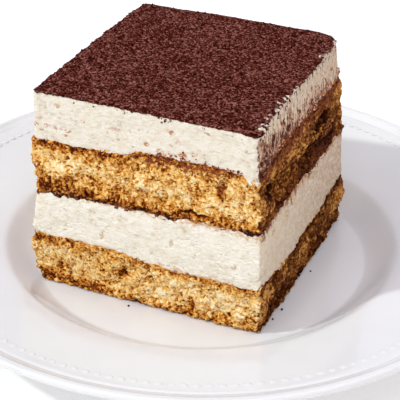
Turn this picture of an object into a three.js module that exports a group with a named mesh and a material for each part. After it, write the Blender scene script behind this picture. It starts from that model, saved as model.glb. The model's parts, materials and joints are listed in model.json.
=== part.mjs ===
// A square slice of tiramisu on a round, beaded dessert plate. Millimetres, +Z up.
// The origin is the middle of the plate, on the table. The slice's cut faces look
// along -Y (front) and +X (right). Heights inside the slice count from its base.

import * as THREE from "three";

// ---- driving sizes: plate ---------------------------------------------------

const PLATE_RADIUS = 101.5;
const WELL_FLOOR = 5.7; // top of the flat floor, above the table
const WELL_RADIUS = 58.2; // flat part of the floor
const LIP_RADIUS = 65.9; // where the well's wall turns over into the rim
const LIP_RISE = 7.3; // lip above the floor
const WALL_STEPS = 5; // rings down the well's wall
const RIM_RISE = 15.0; // rolled edge above the floor
const RIM_MIDDLE = 82;
const PLATE_WALL = 3.9;
const EDGE_WALL = 2.4; // thickness at the rolled edge
const EDGE_ROLL = 1.9; // width of the rolled edge's top
const EDGE_ROUND = 0.6;
const FOOT_INNER = 58.2;
const FOOT_OUTER = 62.8;
const FOOT_HEIGHT = 2.6;
const FOOT_SLANT = 0.9;
const FOOT_RECESS = 1.7; // underside of the floor, above the table
const PLATE_SEGMENTS = 80;
const BEAD_RADIUS = 91.4; // ring of small pearls on the rim, two to a segment
const BEAD_WIDTH = 2.4;
const BEAD_RISE = 0.75;
const GROOVE_RADIUS = 96.2; // fine groove inside the rolled edge
const GROOVE_WIDTH = 2.1;
const GROOVE_DEPTH = 0.35;

// ---- driving sizes: slice ---------------------------------------------------

const REST_GAP = 0.3; // slice above the plate's floor
const LAYER_GAP = 0.3; // between neighbouring layers
const OUTLINE_POINTS = 136;
const SLICE_HEIGHT = 68;

// Each side's position at heights above the slice's base: the slice leans in towards
// its top on the right, and its lower half has slumped outwards on the left.
const LEFT_SIDE = [
  [0, -41.4], [5, -42.9], [12, -43.9], [20, -43.6], [31, -41.5],
  [41, -41.7], [50, -42.9], [58, -41.5], [68, -41.3],
];
const RIGHT_SIDE = [[0, 35.6], [15, 35.5], [34, 34.4], [50, 33.4], [68, 31.5]];
const FRONT_SIDE = [[0, -37.6], [15, -37.4], [34, -37.1], [50, -36.8], [68, -35.9]];
const BACK_SIDE = [[0, 42.3], [34, 42.6], [68, 43.1]];
const FRONT_RIGHT_RADIUS = [[0, 1.6], [30, 1.6], [40, 3.0], [50, 2.4], [68, 1.6]];
const BACK_RIGHT_RADIUS = [[0, 3.0], [40, 4.5], [68, 9.0]];
const LEFT_RADIUS = [[0, 2.5], [68, 2.0]];
const CORNER_FLARE = 2.0; // the top edge swings out to the front right corner
const CORNER_FLARE_LENGTH = 8.0;

// Heights where the layers meet, with the steps and slopes that their cut edges show.
const LOWER_SPONGE_TOP = 15.4;
const LOWER_SPONGE_SWELL = 2.0; // thicker towards the left
const LOWER_CREAM_TOP = 33.8;
const LOWER_CREAM_TILT = 0.025; // climbs to the right, per millimetre
const SEAM_THICKNESS = 1.5;
const UPPER_SPONGE_TOP = 51.7;
const UPPER_SPONGE_STEP = 3.1; // steps up just left of the middle
const UPPER_CREAM_TOP = 67.0;
const UPPER_CREAM_CROWN = 0.4;
const DUST_THICKNESS = 1.3;

// How far the cut sides wander in and out: at a joint, on sponge, cream and cocoa.
const JOINT_ROUGHNESS = 0.4;
const SPONGE_ROUGHNESS = 1.45;
const CREAM_ROUGHNESS = 0.3;
const SEAM_ROUGHNESS = 0.6;
const DUST_ROUGHNESS = 0.45;
const DUST_GRAIN = 0.15;

// Single pits (out below zero) and knobs in the cut faces: the face, the place along it,
// height, half length, half height, how far out, and how much they climb along it.
const DENTS = [
  { face: "right", at: -25, height: 45.8, length: 6.0, rise: 2.4, out: -4.2, climb: -0.2 },
  { face: "right", at: 6, height: 42.0, length: 17.0, rise: 1.7, out: -2.4, climb: -0.1 },
  { face: "right", at: 18, height: 49.0, length: 6.0, rise: 1.6, out: -1.8, climb: 0.45 },
  { face: "right", at: 39, height: 36.5, length: 2.6, rise: 2.2, out: 1.5, climb: 0 },
  { face: "right", at: 38, height: 9.5, length: 3.2, rise: 3.0, out: 1.3, climb: 0 },
  { face: "front", at: -21, height: 41.5, length: 2.8, rise: 1.3, out: -1.6, climb: 0 },
  { face: "front", at: -33, height: 42.5, length: 4.5, rise: 3.6, out: 0.9, climb: 0 },
  { face: "front", at: -12, height: 9.5, length: 2.6, rise: 2.2, out: -1.8, climb: 0 },
  { face: "front", at: 22.8, height: 45, length: 1.6, rise: 5.5, out: -1.2, climb: 0 },
];

// ---- small helpers ----------------------------------------------------------

const { lerp, smoothstep } = THREE.MathUtils;

function along(table, height) {
  // Value of a [height, value] table, straight between its rows.
  const last = table.length - 1;
  if (height <= table[0][0]) return table[0][1];
  for (let row = 0; row < last; row += 1) {
    const [low, start] = table[row];
    const [high, end] = table[row + 1];
    if (height <= high) return lerp(start, end, (height - low) / (high - low));
  }
  return table[last][1];
}

function hash(i, j, k) {
  // A fixed random number from -1 to 1 for each point of a whole-number lattice.
  let h = Math.imul(i, 374761393) ^ Math.imul(j, 668265263) ^ Math.imul(k, 1274126177);
  h = Math.imul(h ^ (h >>> 13), 1103515245);
  h = Math.imul(h ^ (h >>> 16), 2246822519);
  return ((h ^ (h >>> 15)) >>> 0) / 2147483648 - 1;
}

function noise(x, y, z) {
  // Smooth noise from -1 to 1, with one bump for each unit of length.
  const i = Math.floor(x);
  const j = Math.floor(y);
  const k = Math.floor(z);
  const u = smoothstep(x - i, 0, 1);
  const v = smoothstep(y - j, 0, 1);
  const w = smoothstep(z - k, 0, 1);
  const edge = (dj, dk) => lerp(hash(i, j + dj, k + dk), hash(i + 1, j + dj, k + dk), u);
  return lerp(lerp(edge(0, 0), edge(1, 0), v), lerp(edge(0, 1), edge(1, 1), v), w);
}

function crag(x, y, z) {
  // Lumps about 5 mm across with crumbs of half that size on them, from -1 to 1.
  const lumps = noise(x / 5, y / 5, z / 4);
  const crumbs = noise(x / 2.3 + 40, y / 2.3, z / 2.1);
  return 0.6 * lumps + 0.55 * crumbs;
}

// ---- skins: closed surfaces through rings of points -------------------------

class Skin {
  // Rings run anticlockwise seen from above, from the underside up and over.
  constructor() {
    this.vertices = [];
    this.triangles = [];
  }

  point(p) {
    this.vertices.push(p.x, p.y, p.z);
    return this.vertices.length / 3 - 1;
  }

  ring(points) {
    return points.map((p) => this.point(p));
  }

  triangle(a, b, c) {
    this.triangles.push(a, b, c);
  }

  band(lower, upper) {
    // Joins two rings; one may have twice as many points as the other.
    const steps = Math.min(lower.length, upper.length);
    const low = (i) => lower[i % lower.length];
    const high = (i) => upper[i % upper.length];
    for (let i = 0; i < steps; i += 1) {
      if (lower.length === upper.length) {
        this.triangle(low(i), low(i + 1), high(i + 1));
        this.triangle(low(i), high(i + 1), high(i));
      } else if (upper.length > lower.length) {
        this.triangle(low(i), high(2 * i + 1), high(2 * i));
        this.triangle(low(i), low(i + 1), high(2 * i + 1));
        this.triangle(low(i + 1), high(2 * i + 2), high(2 * i + 1));
      } else {
        this.triangle(low(2 * i), low(2 * i + 1), high(i));
        this.triangle(low(2 * i + 1), high(i + 1), high(i));
        this.triangle(low(2 * i + 1), low(2 * i + 2), high(i + 1));
      }
    }
  }

  beads(lower, upper, tops) {
    // A band with one pointed bead on each of its four-sided fields.
    tops.forEach((p, i) => {
      const next = (i + 1) % tops.length;
      const tip = this.point(p);
      const corners = [lower[i], lower[next], upper[next], upper[i]];
      corners.forEach((corner, side) => this.triangle(corner, corners[(side + 1) % 4], tip));
    });
  }

  fan(ring, centre, up) {
    const tip = this.point(centre);
    ring.forEach((a, i) => {
      const b = ring[(i + 1) % ring.length];
      if (up) this.triangle(a, b, tip);
      else this.triangle(b, a, tip);
    });
  }

  cap(ring, up) {
    // Fills a ring by its outline seen from above.
    const outline = ring.map((i) => new THREE.Vector2(this.vertices[3 * i], this.vertices[3 * i + 1]));
    for (const [a, b, c] of THREE.ShapeUtils.triangulateShape(outline, [])) {
      if (up) this.triangle(ring[a], ring[b], ring[c]);
      else this.triangle(ring[a], ring[c], ring[b]);
    }
  }

  geometry() {
    const result = new THREE.BufferGeometry();
    result.setAttribute("position", new THREE.Float32BufferAttribute(this.vertices, 3));
    result.setIndex(this.triangles);
    result.computeVertexNormals();
    return result;
  }
}

// ---- plate ------------------------------------------------------------------

function circle(radius, height, count) {
  // Rings with twice the points share every second point's angle.
  return Array.from({ length: count }, (_, i) => {
    const turn = (2 * Math.PI * i) / count;
    return new THREE.Vector3(radius * Math.cos(turn), radius * Math.sin(turn), height);
  });
}

function rimTop(radius) {
  // The rim is a shallow cone from the lip up to the rolled edge.
  const share = (radius - LIP_RADIUS) / (PLATE_RADIUS - LIP_RADIUS);
  return WELL_FLOOR + lerp(LIP_RISE, RIM_RISE, share);
}

function outerProfile() {
  // From the recess under the floor, round the foot and under the rim, to the groove.
  const edge = WELL_FLOOR + RIM_RISE;
  const grooveIn = GROOVE_RADIUS - GROOVE_WIDTH / 2;
  const grooveOut = GROOVE_RADIUS + GROOVE_WIDTH / 2;
  return [
    [FOOT_INNER, FOOT_RECESS],
    [FOOT_INNER + FOOT_SLANT, 0],
    [FOOT_OUTER - FOOT_SLANT, 0],
    [FOOT_OUTER, FOOT_HEIGHT],
    [LIP_RADIUS + PLATE_WALL / 2, rimTop(LIP_RADIUS) - PLATE_WALL],
    [RIM_MIDDLE, rimTop(RIM_MIDDLE) - PLATE_WALL],
    [grooveOut, rimTop(grooveOut) - (PLATE_WALL + EDGE_WALL) / 2],
    [PLATE_RADIUS - EDGE_ROUND, edge - EDGE_WALL],
    [PLATE_RADIUS, edge - EDGE_WALL / 2],
    [PLATE_RADIUS - EDGE_ROUND, edge - EDGE_ROUND / 3],
    [PLATE_RADIUS - EDGE_ROLL, edge],
    [grooveOut, rimTop(grooveOut) + GROOVE_DEPTH],
    [GROOVE_RADIUS, rimTop(GROOVE_RADIUS) - GROOVE_DEPTH],
    [grooveIn, rimTop(grooveIn)],
  ];
}

function innerProfile() {
  // From the middle of the rim over the lip and down the well's wall to the floor.
  const wall = Array.from({ length: WALL_STEPS }, (_, i) => {
    const share = i / (WALL_STEPS - 1);
    const fall = ((1 + Math.cos(Math.PI * share)) / 2) ** 1.3;
    return [lerp(LIP_RADIUS, WELL_RADIUS, share), WELL_FLOOR + LIP_RISE * fall];
  });
  return [[RIM_MIDDLE, rimTop(RIM_MIDDLE)], ...wall];
}

function plateGeometry() {
  const skin = new Skin();
  const makeRings = (profile) => profile.map(([r, z]) => skin.ring(circle(r, z, PLATE_SEGMENTS)));
  const joinRings = (rings) => rings.slice(1).forEach((ring, i) => skin.band(rings[i], ring));

  const beadCount = 2 * PLATE_SEGMENTS;
  const beadEdges = [BEAD_RADIUS + BEAD_WIDTH / 2, BEAD_RADIUS - BEAD_WIDTH / 2];
  const [beadOut, beadIn] = beadEdges.map((r) => skin.ring(circle(r, rimTop(r), beadCount)));
  const beadTops = circle(BEAD_RADIUS, rimTop(BEAD_RADIUS) + BEAD_RISE, beadCount);
  const up = new THREE.Vector3(0, 0, 1);
  beadTops.forEach((p) => p.applyAxisAngle(up, Math.PI / beadCount));

  const outer = makeRings(outerProfile());
  const inner = makeRings(innerProfile());
  skin.fan(outer[0], new THREE.Vector3(0, 0, FOOT_RECESS), false);
  joinRings(outer);
  skin.band(outer[outer.length - 1], beadOut);
  skin.beads(beadOut, beadIn, beadTops);
  skin.band(beadIn, inner[0]);
  joinRings(inner);
  skin.fan(inner[inner.length - 1], new THREE.Vector3(0, 0, WELL_FLOOR), true);
  return skin.geometry();
}

// ---- slice: cut sides ----------------------------------------------------------

function outlineAt(height) {
  // The slice's smooth outline at one height, as evenly spaced points with normals.
  const left = along(LEFT_SIDE, height);
  const right = along(RIGHT_SIDE, height);
  const front = along(FRONT_SIDE, height);
  const back = along(BACK_SIDE, height);
  const frontRight = along(FRONT_RIGHT_RADIUS, height);
  const backRight = along(BACK_RIGHT_RADIUS, height);
  const leftRadius = along(LEFT_RADIUS, height);
  const shape = new THREE.Shape();
  shape.moveTo(0, front);
  shape.lineTo(right - frontRight, front);
  shape.absarc(right - frontRight, front + frontRight, frontRight, -Math.PI / 2, 0);
  shape.lineTo(right, back - backRight);
  shape.absarc(right - backRight, back - backRight, backRight, 0, Math.PI / 2);
  shape.lineTo(left + leftRadius, back);
  shape.absarc(left + leftRadius, back - leftRadius, leftRadius, Math.PI / 2, Math.PI);
  shape.lineTo(left, front + leftRadius);
  shape.absarc(left + leftRadius, front + leftRadius, leftRadius, Math.PI, 1.5 * Math.PI);
  shape.lineTo(0, front);
  const points = shape.getSpacedPoints(OUTLINE_POINTS).slice(0, OUTLINE_POINTS);
  return points.map((p, i) => {
    const before = points[(i + OUTLINE_POINTS - 1) % OUTLINE_POINTS];
    const after = points[(i + 1) % OUTLINE_POINTS];
    const normal = new THREE.Vector2(after.y - before.y, before.x - after.x).normalize();
    const nearCorner = Math.exp(-(((p.y - front) / CORNER_FLARE_LENGTH) ** 2));
    const nearTop = (height / SLICE_HEIGHT) ** 2;
    const flare = CORNER_FLARE * nearTop * nearCorner * Math.max(0, normal.x);
    return { place: p.clone().addScaledVector(normal, flare), normal };
  });
}

function dentsAt(place, normal, height) {
  let out = 0;
  for (const dent of DENTS) {
    const onRight = dent.face === "right";
    const facing = Math.max(0, onRight ? normal.x : -normal.y);
    const offset = (onRight ? place.y : place.x) - dent.at;
    const lift = height - dent.height - dent.climb * offset;
    const reach = (offset / dent.length) ** 2 + (lift / dent.rise) ** 2;
    out += dent.out * facing ** 2 * Math.exp(-reach);
  }
  return out;
}

function ringOn(surface, roughness) {
  // One ring of the cut sides; surface(x, y) gives its height above the slice's base.
  return outlineAt(surface(0, 0)).map(({ place, normal }) => {
    const height = surface(place.x, place.y);
    const push = roughness * crag(place.x, place.y, height) + dentsAt(place, normal, height);
    const moved = place.clone().addScaledVector(normal, push);
    return new THREE.Vector3(moved.x, moved.y, surface(moved.x, moved.y));
  });
}

// ---- slice: the wavy surfaces where two layers meet -------------------------

function wave(x, y, joint, size) {
  // Long gentle waves, different at each joint.
  return size * noise(x / 13 + 17.3 * joint, y / 13 - 5.1 * joint, joint);
}

function base() {
  return 0;
}

function lowerSpongeTop(x, y) {
  const swell = LOWER_SPONGE_SWELL * (1 - smoothstep(x, -20, 0));
  return LOWER_SPONGE_TOP + swell + wave(x, y, 1, 0.5);
}

function lowerCreamTop(x, y) {
  return LOWER_CREAM_TOP + LOWER_CREAM_TILT * x + wave(x, y, 2, 0.4);
}

function seamTop(x, y) {
  return lowerCreamTop(x, y) + SEAM_THICKNESS + wave(x, y, 3, 0.3);
}

function upperSpongeTop(x, y) {
  const step = UPPER_SPONGE_STEP * smoothstep(x, -15, -3);
  return UPPER_SPONGE_TOP + step + wave(x, y, 4, 0.7);
}

function upperCreamTop(x, y) {
  const crown = UPPER_CREAM_CROWN * (1 - ((x + 5) / 45) ** 2);
  return UPPER_CREAM_TOP + crown + wave(x, y, 5, 0.25);
}

function dustTop(x, y) {
  return upperCreamTop(x, y) + DUST_THICKNESS + wave(x, y, 6, 0.2);
}

const JOINTS = [base, lowerSpongeTop, lowerCreamTop, seamTop, upperSpongeTop, upperCreamTop, dustTop];

// ---- slice: layers ----------------------------------------------------------

const jointRings = JOINTS.map((surface) => ringOn(surface, JOINT_ROUGHNESS));

function layerGeometry(index, shares, roughness) {
  // A layer between joints index and index + 1, with wall rings at the given shares of
  // its thickness. Both layers at a joint have the same outline, half a gap apart.
  const open = index + 2 === JOINTS.length;
  const [low, high] = [JOINTS[index], JOINTS[index + 1]];
  const lift = new THREE.Vector3(0, 0, index === 0 ? 0 : LAYER_GAP / 2);
  const drop = new THREE.Vector3(0, 0, open ? 0 : -LAYER_GAP / 2);
  const walls = shares.map((share) => ringOn((x, y) => lerp(low(x, y), high(x, y), share), roughness));
  const rings = [
    jointRings[index].map((p) => p.clone().add(lift)),
    ...walls,
    jointRings[index + 1].map((p) => p.clone().add(drop)),
  ];
  const skin = new Skin();
  const drawn = rings.map((ring) => skin.ring(ring));
  const top = drawn[drawn.length - 1];
  skin.cap(drawn[0], false);
  drawn.slice(1).forEach((ring, i) => skin.band(drawn[i], ring));
  if (open) coverTop(skin, top, high);
  else skin.cap(top, true);
  return skin.geometry();
}

function coverTop(skin, rimRing, surface) {
  // The open top face, in shrinking rings with fewer points, so that it can undulate.
  const middle = new THREE.Vector3(-5, 3, surface(-5, 3));
  const shrinks = [[0.975, 1], [0.86, 2], [0.66, 2], [0.42, 4], [0.2, 8]];
  let last = rimRing;
  for (const [shrink, every] of shrinks) {
    const kept = rimRing.filter((_, i) => i % every === 0);
    const points = kept.map((i) => {
      const x = lerp(middle.x, skin.vertices[3 * i], shrink);
      const y = lerp(middle.y, skin.vertices[3 * i + 1], shrink);
      const grain = DUST_GRAIN * (1 + noise(x / 4, y / 4, 9));
      return new THREE.Vector3(x, y, surface(x, y) + grain);
    });
    const ring = skin.ring(points);
    skin.band(last, ring);
    last = ring;
  }
  skin.fan(last, middle, true);
}

const SPONGE_SHARES = [0.1, 0.28, 0.46, 0.64, 0.82, 0.93];
const CREAM_SHARES = [0.12, 0.5, 0.88];
const THIN_SHARES = [0.5];

const LAYERS = [
  { name: "sponge_lower", shares: SPONGE_SHARES, roughness: SPONGE_ROUGHNESS, look: "sponge" },
  { name: "cream_lower", shares: CREAM_SHARES, roughness: CREAM_ROUGHNESS, look: "cream" },
  { name: "cocoa_seam", shares: THIN_SHARES, roughness: SEAM_ROUGHNESS, look: "cocoa" },
  { name: "sponge_upper", shares: SPONGE_SHARES, roughness: SPONGE_ROUGHNESS, look: "sponge" },
  { name: "cream_upper", shares: CREAM_SHARES, roughness: CREAM_ROUGHNESS, look: "cream" },
  { name: "cocoa_top", shares: THIN_SHARES, roughness: DUST_ROUGHNESS, look: "cocoa" },
];

// ---- the model --------------------------------------------------------------

const looks = {
  porcelain: () => new THREE.MeshStandardMaterial({ color: 0xf1efee, roughness: 0.15, metalness: 0 }),
  sponge: () => new THREE.MeshStandardMaterial({ color: 0xd7a65d, roughness: 0.95, metalness: 0 }),
  cream: () => new THREE.MeshStandardMaterial({ color: 0xf0e6d6, roughness: 0.6, metalness: 0 }),
  cocoa: () => new THREE.MeshStandardMaterial({ color: 0x5f342c, roughness: 1, metalness: 0 }),
};

function piece(name, geometry, look) {
  const mesh = new THREE.Mesh(geometry, looks[look]());
  mesh.name = name;
  return mesh;
}

const slice = new THREE.Group();
slice.position.z = WELL_FLOOR + REST_GAP;
LAYERS.forEach(({ name, shares, roughness, look }, index) => {
  slice.add(piece(name, layerGeometry(index, shares, roughness), look));
});

const dessert = new THREE.Group();
dessert.add(piece("plate", plateGeometry(), "porcelain"));
dessert.add(slice);

export default dessert;
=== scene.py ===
# %% [markdown]
# # A slice of tiramisu on its plate
#
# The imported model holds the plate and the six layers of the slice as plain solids. This
# lesson keeps their sizes and places, and makes what a baker and a potter would leave on
# them: open crumb, soft cream with the marks of the knife, sifted cocoa and a glossy glaze.
# Lengths are written in millimetres and turned into metres where Blender takes them.

# %% Load the frame and keep its box
import json
import math

import bmesh
import bpy
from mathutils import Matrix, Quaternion, Vector

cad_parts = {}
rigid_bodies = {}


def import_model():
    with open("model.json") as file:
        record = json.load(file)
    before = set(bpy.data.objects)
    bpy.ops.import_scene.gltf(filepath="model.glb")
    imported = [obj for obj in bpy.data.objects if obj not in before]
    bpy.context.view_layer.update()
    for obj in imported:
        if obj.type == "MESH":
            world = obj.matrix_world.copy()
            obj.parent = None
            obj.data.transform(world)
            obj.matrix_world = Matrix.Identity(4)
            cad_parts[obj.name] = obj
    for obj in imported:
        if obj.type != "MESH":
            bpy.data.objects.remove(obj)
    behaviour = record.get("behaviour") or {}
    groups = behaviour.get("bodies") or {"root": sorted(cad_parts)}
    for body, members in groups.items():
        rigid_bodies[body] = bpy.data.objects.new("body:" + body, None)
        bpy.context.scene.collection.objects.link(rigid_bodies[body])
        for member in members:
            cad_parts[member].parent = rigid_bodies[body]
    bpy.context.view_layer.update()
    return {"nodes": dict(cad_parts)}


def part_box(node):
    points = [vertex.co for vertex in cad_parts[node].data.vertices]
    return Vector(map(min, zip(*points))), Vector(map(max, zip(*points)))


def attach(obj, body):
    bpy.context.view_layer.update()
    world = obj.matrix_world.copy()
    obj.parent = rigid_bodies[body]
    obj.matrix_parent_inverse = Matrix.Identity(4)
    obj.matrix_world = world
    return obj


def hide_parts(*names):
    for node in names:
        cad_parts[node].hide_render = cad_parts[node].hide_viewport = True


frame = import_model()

# %% [markdown]
# ## Working by hand
#
# Blender's operators act on whatever is selected, so every step first says what that is.
# These few helpers select one object, open it for editing, pick faces by a test, and apply
# a modifier as soon as it is set.

# %% Helpers for selecting and editing
MM = 0.001
MERGE = 0.001 * MM


def only(piece):
    """Makes piece the one selected and active object."""
    bpy.ops.object.select_all(action="DESELECT")
    piece.select_set(True)
    bpy.context.view_layer.objects.active = piece


def start_editing(piece):
    """Opens piece in edit mode, in face mode, with nothing selected."""
    only(piece)
    bpy.ops.object.mode_set(mode="EDIT")
    bpy.ops.mesh.select_mode(type="FACE")
    bpy.ops.mesh.select_all(action="DESELECT")


def stop_editing():
    """Goes back to object mode."""
    bpy.ops.object.mode_set(mode="OBJECT")


def pick_faces(piece, wanted):
    """In edit mode, selects just the faces for which wanted(face) is true."""
    bpy.ops.mesh.select_all(action="DESELECT")
    work = bmesh.from_edit_mesh(piece.data)
    for face in work.faces:
        if wanted(face):
            face.select_set(True)
    bmesh.update_edit_mesh(piece.data)


def apply_modifier(piece, kind, **settings):
    """Adds a modifier to piece, sets it and applies it."""
    only(piece)
    modifier = piece.modifiers.new(kind.lower(), kind)
    for name, value in settings.items():
        setattr(modifier, name, value)
    bpy.ops.object.modifier_apply(modifier=modifier.name)


def tell(piece):
    """Prints how large and how fine a finished piece is."""
    size = [round(length / MM, 1) for length in piece.dimensions]
    corners = sum(len(face.vertices) - 2 for face in piece.data.polygons)
    print(f"{piece.name}: {size} mm, {corners} triangles")


# %% [markdown]
# ## Shader and shape maths
#
# Both materials and geometry nodes are graphs of nodes. Writing them as sums and products
# keeps them short, so one small class wraps a node's output. Adding or scaling it adds the
# Math node for that, and its `node` method adds any other node.


# %% A wire that can be added and multiplied
class Wire:
    """The output of a node, or the empty start of a node tree."""

    def __init__(self, tree, socket=None):
        self.tree = tree
        self.socket = socket

    def node(self, kind, settings=None, inputs=None, output=0):
        """Adds a node: its settings first, then values or wires for its inputs."""
        made = self.tree.nodes.new(kind)
        for name, value in (settings or {}).items():
            if name == "stops":
                set_stops(made.color_ramp, value)
            else:
                setattr(made, name, value)
        for key, value in (inputs or {}).items():
            if isinstance(value, Wire):
                self.tree.links.new(value.socket, made.inputs[key])
            else:
                made.inputs[key].default_value = value
        return Wire(self.tree, made.outputs[output] if len(made.outputs) else None)

    def maths(self, operation, *values):
        """A Math node."""
        return self.node("ShaderNodeMath", {"operation": operation}, dict(enumerate(values)))

    def __add__(self, other):
        return self.maths("ADD", self, other)

    def __sub__(self, other):
        return self.maths("SUBTRACT", self, other)

    def __rsub__(self, other):
        return self.maths("SUBTRACT", other, self)

    def __mul__(self, other):
        return self.maths("MULTIPLY", self, other)

    def squared(self):
        """The number times itself."""
        return self.maths("MULTIPLY", self, self)

    def size(self):
        """The number without its sign."""
        return self.maths("ABSOLUTE", self)

    def most(self, other):
        """The larger of two numbers."""
        return self.maths("MAXIMUM", self, other)

    def rise(self, low, high):
        """Goes smoothly from 0 at low to 1 at high; falls where low is above high."""
        if low > high:
            return 1 - self.rise(high, low)
        settings = {"interpolation_type": "SMOOTHSTEP"}
        return self.node("ShaderNodeMapRange", settings, {0: self, 1: low, 2: high, 3: 0.0, 4: 1.0})

    def axis(self, index):
        """The x, y or z of a vector, for 0, 1 or 2."""
        return self.node("ShaderNodeSeparateXYZ", {}, {0: self}, index)

    def vector(self, operation, *values):
        """A Vector Math node."""
        inputs = dict(enumerate((self, *values)))
        return self.node("ShaderNodeVectorMath", {"operation": operation}, inputs)

    def scaled(self, factor):
        """A vector times a number."""
        return self.node("ShaderNodeVectorMath", {"operation": "SCALE"}, {0: self, "Scale": factor})


def set_stops(ramp, stops):
    """Gives a colour ramp its stops, as (place, colour) pairs."""
    for place, colour in stops[2:]:
        ramp.elements.new(place)
    for element, (place, colour) in zip(ramp.elements, stops):
        element.position = place
        element.color = (*colour, 1.0)


# %% Noise and scattered cells, measured in millimetres
def noise(place, size, detail=2.0, output=0):
    """Soft noise with bumps about size across, around 0.5."""
    inputs = {"Vector": place, "Scale": 1 / size, "Detail": detail}
    return place.node("ShaderNodeTexNoise", {}, inputs, output)


def cells(place, size, output="Distance"):
    """Distance to the nearest of many scattered points that lie about size apart."""
    return place.node("ShaderNodeTexVoronoi", {}, {"Vector": place, "Scale": 1 / size}, output)


def stretched(place, x, y, z):
    """The place with each axis drawn out, so that a pattern on it is that much longer."""
    return place.vector("MULTIPLY", (1 / x, 1 / y, 1 / z))


# %% [markdown]
# ## The plate
#
# The plate is turned porcelain: a flat well, a curved wall, a shallow sloping rim and a
# rolled edge, with a foot ring below. Spinning a drawn profile would work, but a single
# disc that is extruded and resized ring by ring stays closed from the first step, and each
# ring's radius and height can be read from the profile. Small pearls run round the rim, so
# one is modelled and the spin operator repeats it.

# %% Sizes of the plate
plate_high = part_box("plate")[1]
PLATE_RADIUS = plate_high.x / MM
PLATE_TOP = plate_high.z / MM
WELL_FLOOR = 5.7
WELL_RADIUS = 55.5
WALL_CURVE = 1.5
WALL_START = 72.0
WALL_STEP = 0.5
WALL_RINGS = 36
LIP_RADIUS = 65.9
LIP_SOFTNESS = 0.45
LIP_RISE = 7.3
PLATE_WALL = 3.9
EDGE_WALL = 2.4
EDGE_ROLL = 1.9
EDGE_LIFT = 0.5
ROLL_ROUND = 0.8
FOOT_INNER = 58.2
FOOT_INNER_LEAN = 1.6
FOOT_OUTER = 62.8
FOOT_OUTER_LEAN = 1.5
FOOT_ROUND = 0.9
FOOT_HEIGHT = 3.0
FOOT_RECESS = 1.7
GROOVE_RADIUS = 96.2
GROOVE_WIDTH = 2.1
GROOVE_DEPTH = 0.35
GROOVE_STEPS = 8
RIM_SLOPE = (PLATE_TOP - WELL_FLOOR - LIP_RISE) / (PLATE_RADIUS - LIP_RADIUS)
PLATE_SIDES = 320


def rim_top(radius):
    """Height of the rim's upper face, a shallow cone."""
    return WELL_FLOOR + LIP_RISE + RIM_SLOPE * (radius - LIP_RADIUS)


def soft_ramp(distance, softness):
    """0 before zero and a straight climb after it, with a rounded turn."""
    return (distance + math.sqrt(distance * distance + 4 * softness * softness)) / 2


def wall_rise(radius):
    """Height over the floor: a wall that curves up out of the floor and turns over into the rim."""
    share = max(radius - WELL_RADIUS, 0.0) / (LIP_RADIUS - WELL_RADIUS)
    wall = LIP_RISE * share**WALL_CURVE
    return wall - soft_ramp(wall - (rim_top(radius) - WELL_FLOOR), LIP_SOFTNESS)


def arc(centre, radius, start, end, steps):
    """Points (radius, height) of a rounded corner, between two angles in degrees."""
    turns = [math.radians(start + (end - start) * step / steps) for step in range(steps + 1)]
    return [(centre[0] + radius * math.cos(turn), centre[1] + radius * math.sin(turn)) for turn in turns]


def foot_and_underside():
    """From the recess round the foot ring and out under the rim."""
    recess = [(FOOT_INNER - 1.0, FOOT_RECESS), (FOOT_INNER, FOOT_RECESS)]
    inner = arc((FOOT_INNER + FOOT_INNER_LEAN, FOOT_ROUND), FOOT_ROUND, 200, 270, 4)
    outer = arc((FOOT_OUTER - FOOT_OUTER_LEAN, FOOT_ROUND), FOOT_ROUND, 270, 350, 4)
    bend = (LIP_RADIUS + PLATE_WALL / 2, rim_top(LIP_RADIUS) - PLATE_WALL)
    rim = [(radius, rim_top(radius) - PLATE_WALL) for radius in (74, 82, 90)]
    return [*recess, *inner, *outer, (FOOT_OUTER, FOOT_HEIGHT), bend, *rim]


def rolled_edge():
    """Round the plate's edge, from below to the top of the roll."""
    half = EDGE_WALL / 2
    nose = arc((PLATE_RADIUS - half, PLATE_TOP - half), half, -80, 90, 12)
    return [(GROOVE_RADIUS, rim_top(GROOVE_RADIUS) - PLATE_WALL + EDGE_LIFT), *nose]


def rim_and_wall():
    """From the rolled edge in over the groove and the rim, and down the well's wall."""
    roll = arc((PLATE_RADIUS - EDGE_ROLL, PLATE_TOP - ROLL_ROUND), ROLL_ROUND, 75, 150, 4)
    groove = []
    for step in range(GROOVE_STEPS + 1):
        across = 1 - 2 * step / GROOVE_STEPS
        radius = GROOVE_RADIUS + across * GROOVE_WIDTH / 2
        dip = GROOVE_DEPTH * (1 + math.cos(math.pi * across)) / 2
        groove.append((radius, rim_top(radius) - dip))
    rim = [(radius, rim_top(radius)) for radius in (93, 90, 85, 80, 75)]
    wall_radii = [WALL_START - WALL_STEP * ring for ring in range(WALL_RINGS)]
    wall = [(radius, WELL_FLOOR + wall_rise(radius)) for radius in wall_radii]
    return [*roll, *groove, *rim, *wall, (50, WELL_FLOOR), (30, WELL_FLOOR)]


plate_profile = [*foot_and_underside(), *rolled_edge(), *rim_and_wall()]
print("plate profile:", len(plate_profile), "rings")


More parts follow.
